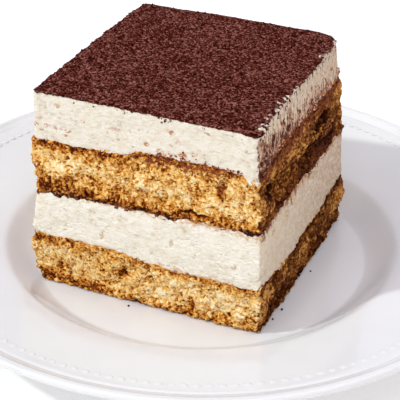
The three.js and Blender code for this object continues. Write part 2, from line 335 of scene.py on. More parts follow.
# %% Turn the plate from a disc
def turned(name, profile, sides):
    """A closed round piece whose rings follow the profile of (radius, height) pairs."""
    first_radius, first_height = profile[0]
    bpy.ops.object.select_all(action="DESELECT")
    bpy.ops.mesh.primitive_circle_add(
        vertices=sides, radius=first_radius * MM, fill_type="NGON", location=(0, 0, first_height * MM)
    )
    piece = bpy.context.object
    piece.name = name
    bpy.ops.object.transform_apply(location=True, rotation=True, scale=True)
    start_editing(piece)
    bpy.ops.mesh.select_all(action="SELECT")
    for (radius, height), (next_radius, next_height) in zip(profile, profile[1:]):
        step = (0, 0, (next_height - height) * MM)
        bpy.ops.mesh.extrude_region_move(TRANSFORM_OT_translate={"value": step})
        grow = next_radius / radius
        bpy.ops.transform.resize(value=(grow, grow, 1), center_override=(0, 0, next_height * MM))
    bpy.ops.mesh.select_all(action="SELECT")
    bpy.ops.mesh.remove_doubles(threshold=MERGE)
    bpy.ops.mesh.normals_make_consistent(inside=False)
    stop_editing()
    return piece


plate = turned("porcelain_plate", plate_profile, PLATE_SIDES)
tell(plate)

# %% One pearl, spun round the rim
BEAD_RADIUS = 91.8
BEAD_COUNT = 160
BEAD_WIDTH = 2.5
BEAD_RISE = 0.21
CREASE_ANGLE = math.radians(40)

start_editing(plate)
bead_place = (BEAD_RADIUS * MM, 0, rim_top(BEAD_RADIUS) * MM)
bpy.ops.mesh.primitive_uv_sphere_add(
    segments=12, ring_count=8, radius=BEAD_WIDTH / 2 * MM, location=bead_place
)
flatten = 2 * BEAD_RISE / BEAD_WIDTH
bpy.ops.transform.resize(value=(1, 1, flatten), center_override=bead_place)
bpy.ops.mesh.spin(
    dupli=True,
    steps=BEAD_COUNT - 1,
    angle=2 * math.pi * (BEAD_COUNT - 1) / BEAD_COUNT,
    center=(0, 0, 0),
    axis=(0, 0, 1),
)
bpy.ops.mesh.select_all(action="SELECT")
bpy.ops.mesh.normals_make_consistent(inside=False)
stop_editing()
only(plate)
bpy.ops.object.shade_smooth_by_angle(angle=CREASE_ANGLE)
tell(plate)

# %% [markdown]
# ## The layers of the slice
#
# Each layer of the slice has its true outline in the model, but in facets a few
# millimetres wide. A voxel remesh gives it an even skin, fine enough for crumbs, and a
# little smoothing takes the facets away. Neighbouring layers are grown into each other by
# a fraction of a millimetre, so that they touch as real layers do. The faces hidden between
# two layers need no detail, and are dissolved into one each.

# %% Even skins from the layers' solids
LAP = 0.45

# How many faces stay round the edge of a cap that is made one face.
HIDDEN_INSET = 4

# A face lies flat where the upright part of its normal is over this, before and after smoothing.
FLAT = 0.93
NEARLY_FLAT = 0.8


def dissolve_cap(piece, direction):
    """Makes the wide face that looks up (1) or down (-1) one face, away from its edge."""
    start_editing(piece)
    pick_faces(piece, lambda face: face.normal.z * direction > NEARLY_FLAT)
    for _ in range(HIDDEN_INSET):
        bpy.ops.mesh.select_less()
    bpy.ops.mesh.dissolve_faces()
    stop_editing()


def layer_skin(node, name, voxel, below, above, smoothing, covered=True):
    """A fine copy of a layer, grown below and above, with its hidden faces made plain."""
    piece = bpy.data.objects.new(name, frame["nodes"][node].data.copy())
    bpy.context.scene.collection.objects.link(piece)
    piece.data.name = name
    piece.data.materials.clear()
    start_editing(piece)
    bpy.ops.mesh.select_all(action="SELECT")
    bpy.ops.mesh.remove_doubles(threshold=MERGE)
    for direction, growth in ((-1, below), (1, above)):
        pick_faces(piece, lambda face: face.normal.z * direction > FLAT)
        bpy.ops.transform.translate(value=(0, 0, direction * growth * MM))
    stop_editing()
    apply_modifier(piece, "REMESH", mode="VOXEL", voxel_size=voxel * MM)
    start_editing(piece)
    bpy.ops.mesh.select_all(action="SELECT")
    bpy.ops.mesh.vertices_smooth(factor=0.5, repeat=smoothing)
    stop_editing()
    dissolve_cap(piece, -1)
    if covered:
        dissolve_cap(piece, 1)
    return piece


# Node, piece, size of the voxels, growth below and above, and rounds of smoothing.
sponge_lower = layer_skin("sponge_lower", "lower_sponge", 0.34, 0.0, LAP, 4)
cream_lower = layer_skin("cream_lower", "lower_cream", 0.45, LAP, 0.8, 5)
cocoa_seam = layer_skin("cocoa_seam", "soaked_seam", 0.33, LAP, LAP, 2)
sponge_upper = layer_skin("sponge_upper", "upper_sponge", 0.34, 0.7, LAP, 4)
cream_upper = layer_skin("cream_upper", "upper_cream", 0.45, LAP, 0.4, 5)
cocoa_top = layer_skin("cocoa_top", "cocoa_dusting", 0.36, 0.2, 0.0, 2, covered=False)
layers = (sponge_lower, cream_lower, cocoa_seam, sponge_upper, cream_upper, cocoa_top)
for layer in layers:
    tell(layer)

# %% [markdown]
# ## Crumb, knife marks and grain
#
# The cut sides are shaped with geometry nodes: each point moves outwards by a relief that
# is worked out from its place. Sponge is a froth of lumps and pits, cream takes the drag
# of the knife, and cocoa lies in small clods. The relief of sponge and cocoa is also stored
# on the points, so that their materials can paint shade into the hollows and pits and paint
# light onto the lumps. One gentle up and down wander is shared by all layers, so the lines
# between them waver without opening.


# %% Shape a piece with geometry nodes
def shape(piece, build):
    """Runs build(start) as a geometry nodes modifier on piece, and applies it."""
    tree = bpy.data.node_groups.new(piece.name + "_shape", "GeometryNodeTree")
    tree.interface.new_socket("Geometry", in_out="INPUT", socket_type="NodeSocketGeometry")
    tree.interface.new_socket("Geometry", in_out="OUTPUT", socket_type="NodeSocketGeometry")
    result = build(Wire(tree).node("NodeGroupInput"))
    result.node("NodeGroupOutput", {}, {0: result})
    apply_modifier(piece, "NODES", node_group=tree)


def store(mesh, name, value, domain="POINT"):
    """Keeps a number on every point, or every instance, for the material."""
    settings = {"data_type": "FLOAT", "domain": domain}
    inputs = {0: mesh, "Name": name, "Value": value}
    return mesh.node("GeometryNodeStoreNamedAttribute", settings, inputs)


def move(mesh, offset):
    """Moves every point by the offset."""
    return mesh.node("GeometryNodeSetPosition", {}, {"Geometry": mesh, "Offset": offset})


def place_of(mesh):
    """Where a point is, in millimetres."""
    return mesh.node("GeometryNodeInputPosition").scaled(1 / MM)


def jostled(place, size, far):
    """The place moved about by noise, so that a pattern on it loses its regular look."""
    shift = noise(place, size, output="Color").vector("SUBTRACT", (0.5, 0.5, 0.5))
    return place.vector("ADD", shift.scaled(far))


def steepness(mesh):
    """0 on level faces and 1 on upright ones."""
    sideways = mesh.node("GeometryNodeInputNormal").vector("MULTIPLY", (1, 1, 0))
    return sideways.node("ShaderNodeVectorMath", {"operation": "LENGTH"}, {0: sideways}, "Value")


def facing(mesh):
    """How much a point looks to the front, and how much to the right."""
    normal = mesh.node("GeometryNodeInputNormal")
    return {"front": (normal.axis(1) * -1).rise(0.35, 0.8), "right": normal.axis(0).rise(0.35, 0.8)}


def spots(place, faces, table):
    """Soft ovals on each cut face: place along it, height, half length, half height, value."""
    along = {"front": place.axis(0), "right": place.axis(1)}
    height = place.axis(2)
    total = 0.0
    for face, ovals in table.items():
        for at, level, half_length, half_height, value in ovals:
            reach = ((along[face] - at) * (1 / half_length)).squared()
            reach = reach + ((height - level) * (1 / half_height)).squared()
            total = reach.rise(1.5, 0.35) * faces[face] * value + total
    return total


# %% Places with a form of their own
# Where the line between two layers climbs or sinks.
LINE_SHIFTS = {
    "front": [
        (-30.0, 22.5, 22.0, 4.0, 1.0),
        (34.0, 58.5, 5.0, 5.0, -3.0),
        (-41.0, 40.0, 5.0, 3.0, -0.8),
        (-33.0, 42.8, 13.0, 1.8, -1.5),
        (-6.0, 42.4, 12.0, 1.4, -0.8),
        (20.0, 42.4, 9.0, 1.2, -0.5),
    ],
    "right": [
        (-14.0, 21.0, 10.0, 5.0, -1.7),
        (33.0, 22.0, 9.0, 5.0, 2.0),
        (-37.0, 22.0, 5.0, 4.0, 2.2),
        (16.0, 41.0, 9.0, 3.0, -1.2),
        (-6.0, 41.0, 4.0, 3.0, 1.2),
    ],
}

# Hollows in the sponge, by their depth, and knobs with a depth below zero. Their depth also
# darkens the sponge's finish as painted shade, and knobs come out a little paler.
HOLLOWS = {
    "front": [
        (-11.9, 15.2, 1.5, 1.3, 0.9),
        (-34.0, 13.4, 1.3, 0.7, 0.7),
        (-21.2, 47.2, 1.8, 0.5, 1.3),
        (-6.4, 58.4, 0.8, 0.6, 1.0),
        (16.4, 52.0, 1.4, 0.4, 0.8),
        (13.6, 11.0, 0.6, 2.6, 0.5),
        (-28.0, 45.5, 1.6, 0.5, 0.9),
        (-23.6, 42.6, 1.1, 1.2, 1.3),
        (-37.5, 41.2, 2.6, 0.7, 1.1),
        (-14.5, 42.2, 2.4, 0.6, 1.0),
        (29.5, 14.0, 1.8, 0.4, 0.8),
        (-34.0, 48.3, 4.0, 3.0, -0.8),
        (-4.0, 42.0, 3.0, 0.8, 1.2),
        (14.0, 43.6, 5.0, 0.6, 1.2),
        (31.0, 41.3, 3.0, 1.0, 1.2),
    ],
    "right": [
        (-27.0, 51.0, 3.6, 1.8, 2.6),
        (6.0, 48.6, 9.0, 1.6, 1.8),
        (17.0, 52.0, 5.0, 1.0, 1.6),
        (24.0, 54.5, 4.0, 1.0, 1.6),
        (27.0, 45.0, 7.0, 2.0, 1.4),
        (-20.0, 44.0, 6.0, 0.9, 1.2),
        (37.0, 57.5, 3.5, 3.0, -0.4),
        (39.0, 16.5, 3.5, 4.0, -0.3),
    ],
}

# %% Push the sides about
SIDE_FILL = 0.3
CORNER_FILL = 1.4

# Heights over which the wander sets in above the plate, and dies out below the top.
WANDER_STARTS = (7.0, 12.0)
WANDER_ENDS = (74.5, 71.0)


def push_sides(mesh, place, faces, relief):
    """Pushes the sides out by the relief, and lets the lines between layers wander."""
    normal = mesh.node("GeometryNodeInputNormal")
    corner = (normal.axis(0) * normal.axis(1)).size() * CORNER_FILL
    relief = relief + corner + SIDE_FILL
    outward = normal.vector("MULTIPLY", (1, 1, 0)).vector("NORMALIZE")
    outward = outward.scaled(relief * steepness(mesh).rise(0.3, 0.6) * MM)
    free = place.axis(2).rise(*WANDER_STARTS) * place.axis(2).rise(*WANDER_ENDS)
    wander = (noise(place, 3.2) - 0.5) * 1.7 + (noise(place, 1.1) - 0.5) * 1.1
    wander = wander * free + spots(place, faces, LINE_SHIFTS)
    upward = mesh.node("ShaderNodeCombineXYZ", {}, {2: wander * MM})
    return move(mesh, outward.vector("ADD", upward))


def mark_faces(mesh):
    """Stores which points look to the right, before crumbs turn their normals about."""
    rightward = mesh.node("GeometryNodeInputNormal").axis(0)
    settings = {"data_type": "FLOAT"}
    blurred = mesh.node("GeometryNodeBlurAttribute", settings, {0: rightward, "Iterations": 8})
    return store(mesh, "faces_right", blurred.rise(0.45, 0.85))


# %% Open crumb for the sponge
# Heights over which the coffee in the crumb comes and goes: above the seam, in it and at the foot.
SOAKED_ABOVE_SEAM = (47.0, 43.0)
SOAKED_FROM_SEAM = (38.0, 39.0)
SOAKED_FOOT = (9.5, 7.0)


def crumb(mesh):
    """The cut sides of a sponge layer: fine crumb with small holes, coarser where it is soaked."""
    place = place_of(mesh)
    faces = facing(mesh)
    height = place.axis(2)
    soaked = height.rise(*SOAKED_ABOVE_SEAM) * height.rise(*SOAKED_FROM_SEAM)
    soaked = soaked + height.rise(*SOAKED_FOOT)
    bent = jostled(place, 1.6, 2.4)
    clumps = noise(stretched(place, 1.3, 1.3, 0.9), 4.2, 1.0) - 0.5
    lumps = 1 - cells(bent, 2.1).squared()
    rough = noise(bent, 1.0, 4.0) - 0.5
    holes = noise(stretched(bent, 1.5, 1.5, 1.0), 1.1).rise(0.59, 0.68)
    crack = (noise(stretched(bent, 2.4, 2.4, 1.0), 1.5) - 0.5).size().rise(0.055, 0.01)
    crack = crack * noise(place, 4.5).rise(0.47, 0.6)
    deep = crack * 0.7 + holes * 0.6 + spots(place, faces, HOLLOWS)
    relief = clumps * 1.2 + lumps * (soaked * 0.8 + 0.3) + rough * (soaked * 0.8 + 0.8)
    relief = relief - deep - soaked * 0.5 - 0.14
    mesh = mark_faces(mesh)
    # The height of the lumps, kept so that the finish paints shade into the hollows and light onto the
    # lumps.
    mesh = store(mesh, "relief", lumps * 0.45 + rough * 1.1 + clumps * 0.4 + 0.3)
    # The depth of holes, cracks and hollows, kept so that the finish paints shade into them.
    mesh = store(mesh, "pit", deep)
    mesh = store(mesh, "tone", cells(bent, 1.3, "Color").axis(0))
    return push_sides(mesh, place, faces, relief)


for sponge in (sponge_lower, sponge_upper):
    shape(sponge, crumb)


# %% Knife marks and curds for the cream
def spread_cream(mesh):
    """The cut sides of a cream layer: rough curds, drawn out along the cut."""
    place = place_of(mesh)
    swell = noise(place, 9.0) - 0.5
    dragged = noise(stretched(place, 3.0, 3.0, 1.0), 1.0, 3.0) - 0.5
    curds = noise(jostled(place, 1.2, 1.5), 1.1, 4.0) - 0.5
    tears = (noise(stretched(place, 2.6, 2.6, 0.9), 1.9, 3.0) - 0.5).size().rise(0.04, 0.0)
    tears = tears * noise(place, 5.0).rise(0.5, 0.6)
    relief = swell * 1.1 + dragged * 0.45 + curds * 0.75 - tears * 0.35
    return push_sides(mark_faces(mesh), place, facing(mesh), relief)


for cream in (cream_lower, cream_upper):
    shape(cream, spread_cream)


# %% Clods for the seam, and sifted grain for the top
def soaked_clods(mesh):
    """The dark seam: small wet clods, here and there squeezed out or sunk in."""
    place = place_of(mesh)
    bent = jostled(place, 1.4, 2.0)
    clods = 1 - cells(bent, 1.5).squared()
    swell = noise(place, 3.5) - 0.5
    relief = swell * 3.0 + clods * 0.8 - 0.85
    # The clods' height, kept so that the finish paints their tops lighter, as painted light.
    mesh = store(mesh, "relief", clods)
    mesh = store(mesh, "tone", cells(bent, 1.5, "Color").axis(0))
    return push_sides(mesh, place, facing(mesh), relief)


def sifted(mesh):
    """Cocoa powder: small clods and dimples over the top, and a ragged edge."""
    place = place_of(mesh)
    normal = mesh.node("GeometryNodeInputNormal")
    bent = jostled(place, 0.9, 1.2)
    clods = 1 - cells(bent, 1.0).squared()
    dimples = noise(place, 2.2, 3.0) - 0.5
    grain = clods * 0.4 + dimples * 0.6 - 0.8
    # The clods' height, kept so that the finish paints their tops lighter, as painted light.
    mesh = store(mesh, "relief", clods)
    mesh = store(mesh, "tone", cells(bent, 1.0, "Color").axis(0))
    mesh = store(mesh, "creamy", 1.0)
    upward = mesh.node("ShaderNodeCombineXYZ", {}, {2: grain * normal.axis(2).rise(0.3, 0.8) * MM})
    mesh = move(mesh, upward)
    return push_sides(mesh, place, facing(mesh), (noise(place, 1.5, 3.0) - 0.5) * 2.4)


shape(cocoa_seam, soaked_clods)
shape(cocoa_top, sifted)
for layer in layers:
    only(layer)
    bpy.ops.object.shade_smooth()
    tell(layer)

# %% [markdown]
# ## Loose crumbs and grains
#
# A cut leaves crumbs that sit on the surface, and sifted cocoa never lies flat. A few small
# lumps are modelled once, each from a cube that is cut, rounded and shaken. Geometry nodes
# strew them over a copy of the layer and join them into one mesh. Each keeps the numbers of
# the place where it landed, and a tone of its own.

# %% A few lumps to strew
LUMP_WIDTH = 1.6
LUMP_ROUNDNESS = 0.7
LUMP_SHAKE = 0.34


def lump(number):
    """A small lump about 2 units across, with two dozen faces."""
    bpy.ops.object.select_all(action="DESELECT")
    bpy.ops.mesh.primitive_cube_add(size=LUMP_WIDTH)
    piece = bpy.context.object
    piece.name = f"lump_{number}"
    start_editing(piece)
    bpy.ops.mesh.select_all(action="SELECT")
    bpy.ops.mesh.subdivide(number_cuts=1)
    bpy.ops.transform.tosphere(value=LUMP_ROUNDNESS)
    bpy.ops.transform.vertex_random(offset=LUMP_SHAKE, seed=number)
    stop_editing()
    only(piece)
    bpy.ops.object.shade_smooth()
    return piece


lumps_to_strew = bpy.data.collections.new("lumps")
bpy.context.scene.collection.children.link(lumps_to_strew)
for number in range(1, 5):
    made = lump(number)
    for holder in list(made.users_collection):
        holder.objects.unlink(made)
    lumps_to_strew.objects.link(made)


def random_share(wire, seed):
    """A random number from 0 to 1 for each point."""
    inputs = {2: 0.0, 3: 1.0, "Seed": seed}
    return wire.node("FunctionNodeRandomValue", {"data_type": "FLOAT"}, inputs, 1)


def random_vector(wire, low, high, seed):
    """Three random numbers for each point."""
    inputs = {0: (low,) * 3, 1: (high,) * 3, "Seed": seed}
    return wire.node("FunctionNodeRandomValue", {"data_type": "FLOAT_VECTOR"}, inputs)


def strew(layer, name, density, smallest, largest, seed, where):
    """Strews lumps over layer, density for each square millimetre where where(mesh) is 1."""
    piece = bpy.data.objects.new(name, layer.data.copy())
    bpy.context.scene.collection.objects.link(piece)
    piece.data.name = name

    def build(mesh):
        density_here = where(mesh) * (density / MM**2)
        spread = {"Mesh": mesh, "Density": density_here, "Seed": seed}
        points = mesh.node("GeometryNodeDistributePointsOnFaces", {}, spread)
        lumps = mesh.node("GeometryNodeCollectionInfo", {}, {0: lumps_to_strew, 1: True, 2: True})
        small = random_share(mesh, seed + 1)
        size = (small * small * (largest - smallest) + smallest) * MM
        size = random_vector(mesh, 0.55, 1.45, seed + 4).scaled(size)
        turn = random_vector(mesh, 0.0, 2 * math.pi, seed + 2)
        laid = {0: points, "Instance": lumps, "Pick Instance": True, "Rotation": turn, "Scale": size}
        crumbs = mesh.node("GeometryNodeInstanceOnPoints", {}, laid)
        crumbs = store(crumbs, "tone", random_share(mesh, seed + 3), "INSTANCE")
        # Each loose crumb counts as a raised lump, so that its finish paints it a little lighter, as
        # painted light.
        crumbs = store(crumbs, "relief", 0.7, "INSTANCE")
        return crumbs.node("GeometryNodeRealizeInstances", {}, {0: crumbs})

    shape(piece, build)
    tell(piece)
    return piece


def on_sides(mesh):
    """1 on upright faces."""
    return steepness(mesh).rise(0.35, 0.7)


def on_top(mesh):
    """1 on faces that look up."""
    return mesh.node("GeometryNodeInputNormal").axis(2).rise(0.3, 0.7)


def along_a_line(height, spread, from_x):
    """Patches of upright face near a height, right of from_x."""

    def where(mesh):
        place = place_of(mesh)
        level = place.axis(2) + (noise(place, 3.0) - 0.5) * 3.0
        near = level.rise(height - spread, height) * level.rise(height + spread, height)
        patch = noise(place, 3.5).rise(0.45, 0.6) * place.axis(0).rise(from_x, from_x + 4.0)
        return on_sides(mesh) * near * patch

    return where


# Heights over which the streaks on the right face grow thick, from above.
STREAKS_FADE = (69.0, 62.0)


def on_streaks(mesh):
    """Patches of the right face, low on the cream, where the knife dragged cocoa along."""
    place = place_of(mesh)
    patch = noise(stretched(place, 1.0, 1.0, 2.0), 1.6).rise(0.5, 0.6)
    return facing(mesh)["right"] * patch * place.axis(2).rise(*STREAKS_FADE)


by_sponge = along_a_line(60.5, spread=3.0, from_x=-9.0)
by_top = along_a_line(73.5, spread=2.5, from_x=-60.0)

# Layer, piece, lumps for each square millimetre, smallest and largest half width, seed, place.
crumbs_lower = strew(sponge_lower, "lower_crumbs", 0.14, 0.20, 0.55, 11, on_sides)
crumbs_upper = strew(sponge_upper, "upper_crumbs", 0.14, 0.20, 0.55, 23, on_sides)
stained_crumbs = strew(cream_upper, "stained_crumbs", 1.1, 0.18, 0.5, 37, by_sponge)
fallen_cocoa = strew(cream_upper, "fallen_cocoa", 0.9, 0.12, 0.36, 41, by_top)
streak_crumbs = strew(cream_upper, "streak_crumbs", 0.45, 0.18, 0.5, 47, on_streaks)
cocoa_grains = strew(cocoa_top, "cocoa_grains", 0.5, 0.13, 0.36, 53, on_top)
for piece in list(lumps_to_strew.objects):
    bpy.data.objects.remove(piece)
bpy.data.collections.remove(lumps_to_strew)

# %% A few crumbs that fell on the plate
# Where each lies, and its half width. Its middle lies CRUMB_LIFT half widths up.
FALLEN = [
    (37.7, -22.2, 0.36),
    (36.9, -28.4, 0.30),
    (38.6, 3.0, 0.28),
    (-8.0, -40.5, 0.30),
    (12.0, 42.5, 0.34),
]
CRUMB_LIFT = 0.7


def lay_crumbs(name, places):
    """Lumps on the plate's floor, one at each (x, y, size), joined into one piece."""
    laid = []
    for number, (x, y, size) in enumerate(places, 11):
        piece = lump(number)
        piece.location = (x * MM, y * MM, (WELL_FLOOR + CRUMB_LIFT * size) * MM)
        piece.scale = (size * MM,) * 3
        laid.append(piece)
    bpy.ops.object.select_all(action="DESELECT")
    for piece in laid:
        piece.select_set(True)
    bpy.context.view_layer.objects.active = laid[0]
    bpy.ops.object.transform_apply(location=True, rotation=True, scale=True)
    bpy.ops.object.join()
    laid[0].name = name
    return laid[0]


plate_crumbs = lay_crumbs("plate_crumbs", FALLEN)
tell(plate_crumbs)

# %% [markdown]
# ## Finishes
#
# Every finish is worked out from the place on the piece in millimetres, so it has the real
# size of crumbs and powder. Colours are given in linear light.


# %% Start a material and mix colours
def new_finish(name):
    """An empty material, and the wire that starts it."""
    material = bpy.data.materials.new(name)
    material.use_nodes = True
    material.node_tree.nodes.clear()
    return material, Wire(material.node_tree)


def place_on_piece(start):
    """Object coordinates, in millimetres."""
    return start.node("ShaderNodeTexCoord", {}, {}, "Object").scaled(1 / MM)


def stored(start, name):
    """A number that was stored on the piece's points."""
    return start.node("ShaderNodeAttribute", {"attribute_name": name}, {}, "Fac")


# The places from back to front over which the front side begins.
FRONT_BEGINS = (-30.0, -33.0)


def sides_of(start, place):
    """How much a point belongs to the front and to the right side."""
    right = stored(start, "faces_right")
    return {"front": (1 - right) * place.axis(1).rise(*FRONT_BEGINS), "right": right}


def blend(factor, low, high):
    """The colour low where factor is 0, and high where it is 1."""
    low = low if isinstance(low, Wire) else (*low, 1.0)
    high = high if isinstance(high, Wire) else (*high, 1.0)
    settings = {"data_type": "RGBA", "clamp_factor": True}
    return factor.node("ShaderNodeMix", settings, {0: factor, 6: low, 7: high}, 2)


def ramp(level, stops):
    """The colour of a ramp at a level."""
    return level.node("ShaderNodeValToRGB", {"stops": stops}, {0: level})


def bump(height, distance):
    """A bump normal from a height between 0 and 1, for a depth in millimetres."""
    inputs = {"Height": height, "Distance": distance * MM, "Strength": 1.0}
    return height.node("ShaderNodeBump", {}, inputs)


def finish_with(start, colour, roughness, shine, others):
    """Ends a material with a Principled surface, which takes others as they are."""
    inputs = {"Base Color": colour, "Roughness": roughness, "Specular IOR Level": shine, **others}
    surface = start.node("ShaderNodeBsdfPrincipled", {}, inputs)
    surface.node("ShaderNodeOutputMaterial", {}, {"Surface": surface})


# %% Sponge
# Crumb from deeply soaked to pale and dry, on the front and on the coffee-brown right side.
# The dark end also serves as painted shade in hollows, pits and holes, and the pale end as painted light
# on lumps.
FRONT_CRUMB = [
    (0.00, (0.085, 0.015, 0.003)),
    (0.14, (0.28, 0.064, 0.008)),
    (0.30, (0.55, 0.190, 0.026)),
    (0.48, (0.77, 0.395, 0.078)),
    (0.66, (0.88, 0.600, 0.225)),
    (0.85, (0.95, 0.780, 0.460)),
    (1.00, (0.97, 0.870, 0.640)),
]
RIGHT_CRUMB = [
    (0.00, (0.026, 0.005, 0.001)),
    (0.28, (0.076, 0.018, 0.003)),
    (0.52, (0.170, 0.050, 0.009)),
    (0.72, (0.340, 0.130, 0.024)),
    (1.00, (0.680, 0.340, 0.090)),
]
COCOA_STAIN = (0.22, 0.055, 0.026)

# From left to right, where the upper sponge's top steps up.
STEP_PLACE = (-15.0, -3.0)

# Where cocoa has run into the crumb.
STAINED_PLACES = {
    "front": [
        (9.0, 60.0, 19.0, 3.2, 1.4),
        (22.0, 55.0, 2.0, 4.0, 0.8),
        (-4.0, 40.4, 45.0, 1.6, 0.4),
    ],
    "right": [
        (0.0, 59.5, 50.0, 4.0, 1.1),
        (0.0, 42.0, 50.0, 3.0, 0.5),
    ],
}

# Paler places have a value above zero, and browner ones below.
CRUMB_PATCHES = {
    "front": [
        (-27.0, 50.5, 7.0, 2.2, 0.2),
        (-38.0, 53.0, 6.0, 2.6, 0.12),
        (-15.0, 49.5, 5.5, 2.0, 0.14),
        (-1.6, 49.0, 4.5, 2.2, 0.14),
        (8.5, 49.0, 5.5, 2.2, 0.14),
        (18.5, 49.0, 4.0, 3.0, 0.13),
        (27.2, 48.5, 5.5, 3.4, 0.17),
        (-33.5, 47.0, 5.0, 4.0, -0.2),
        (22.0, 52.5, 1.8, 3.4, -0.26),
        (14.5, 51.0, 1.0, 3.0, -0.2),
        (9.0, 59.6, 17.0, 2.2, -0.18),
        (-24.0, 56.5, 24.0, 1.6, -0.12),
        (2.0, 12.0, 5.0, 2.4, 0.14),
        (10.0, 16.5, 6.0, 2.5, 0.12),
        (25.0, 14.0, 7.5, 3.6, 0.15),
        (-36.0, 18.5, 6.0, 2.5, 0.08),
        (-37.0, 9.8, 9.0, 2.2, -0.24),
        (-24.0, 8.6, 9.0, 1.6, -0.2),
        (-12.0, 15.0, 2.6, 2.2, -0.24),
        (-33.0, 12.5, 2.2, 1.6, -0.2),
        (13.0, 11.0, 0.9, 4.6, -0.22),
        (20.0, 20.5, 16.0, 1.2, -0.1),
        (-39.0, 22.0, 5.0, 1.6, -0.16),
    ],
    "right": [
        (-37.0, 48.0, 5.0, 6.0, 0.34),
        (-26.0, 55.5, 9.0, 2.6, 0.26),
        (-6.0, 55.0, 9.0, 3.0, 0.2),
        (4.0, 52.0, 6.0, 1.6, 0.12),
        (-27.0, 50.5, 5.0, 2.0, -0.3),
        (14.0, 45.0, 26.0, 3.4, -0.22),
        (18.0, 53.0, 8.0, 1.6, -0.3),
        (37.0, 56.0, 5.0, 4.0, 0.26),
        (38.0, 42.0, 5.0, 3.6, 0.24),
        (-34.0, 16.0, 7.0, 7.0, 0.34),
        (36.0, 16.0, 7.0, 5.0, 0.3),
        (1.0, 17.0, 5.0, 3.6, 0.2),
        (-20.0, 10.5, 14.0, 4.0, -0.12),
        (20.0, 9.0, 16.0, 3.0, -0.14),
    ],
}


def sponge_finish(name, low, high, step, wetness, paleness):
    """Golden crumb between two heights, browned where coffee soaked in, with painted shade in its
    valleys, pits and holes and painted light on its lumps; its top steps up by step.
    """
    material, start = new_finish(name)
    place = place_on_piece(start)
    z = place.axis(2)
    relief = stored(start, "relief")
    sides = sides_of(start, place)
    top = place.axis(0).rise(*STEP_PLACE) * step + high
    drift = noise(place, 2.6, 3.0) - 0.5
    patch = noise(stretched(place, 1.4, 1.4, 1.0), 4.0, 3.0) - 0.5
    grain = noise(jostled(place, 1.0, 0.8), 0.9, 4.0) - 0.5
    # Low crumb takes more of the soaking: the coffee's brown together with painted shade in the valleys.
    # Pits take painted shade too.
    valley_shade = relief.rise(0.95, 0.3) * 1.5 + 0.3
    soaked = (z + drift * 6.0).rise(low + 4.6, low + 0.5) * valley_shade * wetness
    soaked = soaked + (top - z + drift * 4.0).rise(2.4, 0.2) * 0.2 + stored(start, "pit") * 0.45
    bent = jostled(place, 1.0, 1.2)
    # Small dark holes painted into the cut face: painted shade of pores that the mesh leaves out.
    holes = noise(stretched(bent, 1.6, 1.6, 1.0), 0.75).rise(0.56, 0.64)
    # The relief makes lumps paler and hollows darker: painted light and shade.
    level = grain * 1.4 + relief * 0.4 + spots(place, sides, CRUMB_PATCHES) - soaked
    front_level = stored(start, "tone") * 0.18 + level + patch * 0.35 - holes * 0.34 + paleness
    dots = cells(stretched(bent, 1.0, 2.0, 1.0), 0.8, "Color").axis(0)
    right_level = dots * 0.5 + level + patch * 1.2 + 0.01
    ragged = (noise(bent, 1.0, 3.0) - 0.5) * 1.4
    right = (sides["right"] + ragged).rise(0.35, 0.6)
    colour = blend(right, ramp(front_level, FRONT_CRUMB), ramp(right_level, RIGHT_CRUMB))
    stain = noise(stretched(place, 1.5, 1.5, 1.0), 1.0, 3.0).rise(0.46, 0.58)
    stain = stain * relief.rise(1.15, 0.45) * spots(place, sides, STAINED_PLACES)
    colour = blend(stain, colour, COCOA_STAIN)
    fine = noise(place, 0.6, 3.0)
    finish_with(start, colour, fine * 0.3 + 0.5, 0.03, {"Normal": bump(fine, 0.2)})
    return material


# %% Cream
# The line between white and streaked cream on the right side. Its places run from the front
# to the back as shares of a length, and its heights are shares of a height above a low level.
STREAK_FRONT = -40.0
STREAK_LENGTH = 85.0
STREAK_LOW = 55.0
STREAK_HEIGHT = 20.0
EDGE_PLACES = (0.03, 0.12, 0.24, 0.36, 0.50, 0.60, 0.78, 0.98)
EDGE_HEIGHTS = (0.92, 0.80, 0.60, 0.68, 0.48, 0.54, 0.42, 0.30)
STREAK_EDGE = [(share, (height,) * 3) for share, height in zip(EDGE_PLACES, EDGE_HEIGHTS)]

# From cocoa dragged down by the knife to cream that is only tinted.
STREAKS = [
    (0.08, (0.050, 0.010, 0.003)),
    (0.36, (0.175, 0.048, 0.020)),
    (0.60, (0.370, 0.170, 0.095)),
    (0.90, (0.600, 0.400, 0.270)),
]

# Other colours of the cream: its creases, darkened as painted shade, its right side near and far,
# tinted by cocoa and darkened by painted shade that deepens towards the back, and its stains.
CREASE_SHADE = (0.93, 0.90, 0.84)
RIGHT_TINT_AND_SHADE_NEAR = (0.73, 0.615, 0.45)
RIGHT_TINT_AND_SHADE_FAR = (0.56, 0.405, 0.28)
SOAKED_EDGE = (0.60, 0.29, 0.13)
SMUDGE_BELOW = (0.56, 0.37, 0.18)
SMUDGE_ABOVE = (0.50, 0.23, 0.11)
COFFEE_DRIP = (0.22, 0.075, 0.03)
SPILT_COCOA = (0.05, 0.012, 0.009)

